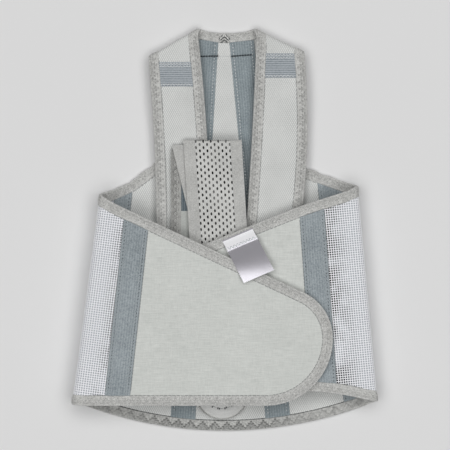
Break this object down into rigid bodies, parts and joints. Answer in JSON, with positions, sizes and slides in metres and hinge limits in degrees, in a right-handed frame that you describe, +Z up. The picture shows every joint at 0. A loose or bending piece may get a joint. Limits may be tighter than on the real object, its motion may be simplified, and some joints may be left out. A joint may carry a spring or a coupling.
{
  "type": "lumbar support belt",
  "caption": "Soft back-support corset with shoulder straps, lying closed: stayed back, mesh sides, two overlapping front flaps and a folded strap end.",
  "frame": {"origin": "on the surface it lies on, under the middle of its outline", "axes": "+Z up out of the front, +Y towards the neck, +X towards the side of the inner flap's fold"},
  "size_m": [0.3066, 0.4043, 0.0314],
  "materials": {
    "flap_cloth": "brushed loop",
    "back_cloth": "woven twill",
    "strap_cloth": "woven twill",
    "binding": "folded knit tape",
    "webbing": "ribbed webbing",
    "side_mesh": "spacer mesh",
    "elastic": "perforated",
    "pad": "foam under cloth",
    "hook": "moulded hooks",
    "satin": "satin",
    "stay_steel": "sprung strip"
  },
  "bodies": {
    "back": {"back_panel": "back_cloth", "left_mesh_back": "side_mesh", "right_mesh_back": "side_mesh", "back_hem_binding": "binding", "right_armhole_binding": "binding", "neck_binding": "binding", "left_armhole_binding": "binding", "left_spine_tape": "webbing", "left_spine_stay": "stay_steel", "right_spine_tape": "webbing", "right_spine_stay": "stay_steel", "left_side_tape": "webbing", "left_side_stay": "stay_steel", "right_side_tape": "webbing", "right_side_stay": "stay_steel", "lumbar_pad": "pad", "neck_tack": "binding", "left_mesh_fold": "side_mesh", "left_fold_hem_binding": "binding", "left_fold_top_binding": "binding", "right_mesh_fold": "side_mesh", "right_fold_hem_binding": "binding", "right_fold_top_binding": "binding", "left_shoulder_fold": "strap_cloth", "right_shoulder_fold": "strap_cloth"},
    "outer_flap": {"outer_flap_panel": "flap_cloth", "left_mesh_front": "side_mesh", "outer_flap_binding": "binding", "left_front_tape": "webbing", "left_front_stay": "stay_steel", "hook_patch": "hook"},
    "inner_flap": {"inner_flap_panel": "flap_cloth", "right_mesh_front": "side_mesh", "inner_flap_binding": "binding", "right_front_tape": "webbing", "right_front_stay": "stay_steel"},
    "label": {"label": "satin"},
    "left_strap": {"left_strap_panel": "strap_cloth", "left_strap_outer_binding": "binding", "left_strap_inner_binding": "binding", "left_strap_patch": "webbing", "left_strap_tuck": "strap_cloth", "left_return_ply": "strap_cloth", "left_return_outer_binding": "binding", "left_return_inner_binding": "binding", "left_return_patch": "webbing"},
    "left_strap_end": {"left_end_front_ply": "elastic", "left_end_back_ply": "elastic", "left_end_fold": "elastic", "left_end_tuck": "elastic"},
    "right_strap": {"right_strap_panel": "strap_cloth", "right_strap_outer_binding": "binding", "right_strap_inner_binding": "binding", "right_strap_patch": "webbing", "right_strap_tuck": "strap_cloth"}
  },
  "joints": [
    {"name": "outer_flap_open", "type": "hinge", "parent": "back", "child": "outer_flap", "pos_m": [-0.11092, 0.03111, 0.015], "axis": [-0.1313, -0.9913, 0], "range_deg": [0, 165], "deforming": ["left_mesh_fold", "left_fold_hem_binding", "left_fold_top_binding", "label"]},
    {"name": "inner_flap_open", "type": "hinge", "parent": "back", "child": "inner_flap", "pos_m": [0.1215, 0.03993, 0.01235], "axis": [-0.0914, 0.9958, 0], "range_deg": [0, 165], "deforming": ["right_mesh_fold", "right_fold_hem_binding", "right_fold_top_binding"]},
    {"name": "label_flip", "type": "hinge", "parent": "inner_flap", "child": "label", "pos_m": [-0.0028, -0.0102, 0.02525], "axis": [-0.9314, -0.3641, 0], "range_deg": [0, 150]},
    {"name": "left_strap_unfold", "type": "hinge", "parent": "back", "child": "left_strap", "pos_m": [-0.02472, 0.19562, 0.0062], "axis": [-0.8682, -0.4961, 0], "range_deg": [0, 160], "deforming": ["left_shoulder_fold", "left_strap_tuck"]},
    {"name": "left_strap_end_lift", "type": "hinge", "parent": "left_strap", "child": "left_strap_end", "pos_m": [-0.009, 0.016, 0.0165], "axis": [1, 0, 0], "range_deg": [0, 120], "deforming": ["left_end_tuck"]},
    {"name": "right_strap_unfold", "type": "hinge", "parent": "back", "child": "right_strap", "pos_m": [0.02855, 0.1955, 0.0062], "axis": [-0.9039, 0.4278, 0], "range_deg": [0, 160], "deforming": ["right_shoulder_fold", "right_strap_tuck"]}
  ],
  "couplings": [
    {"joint": "inner_flap_open", "follows": "outer_flap_open", "ratio": 0.4}
  ]
}
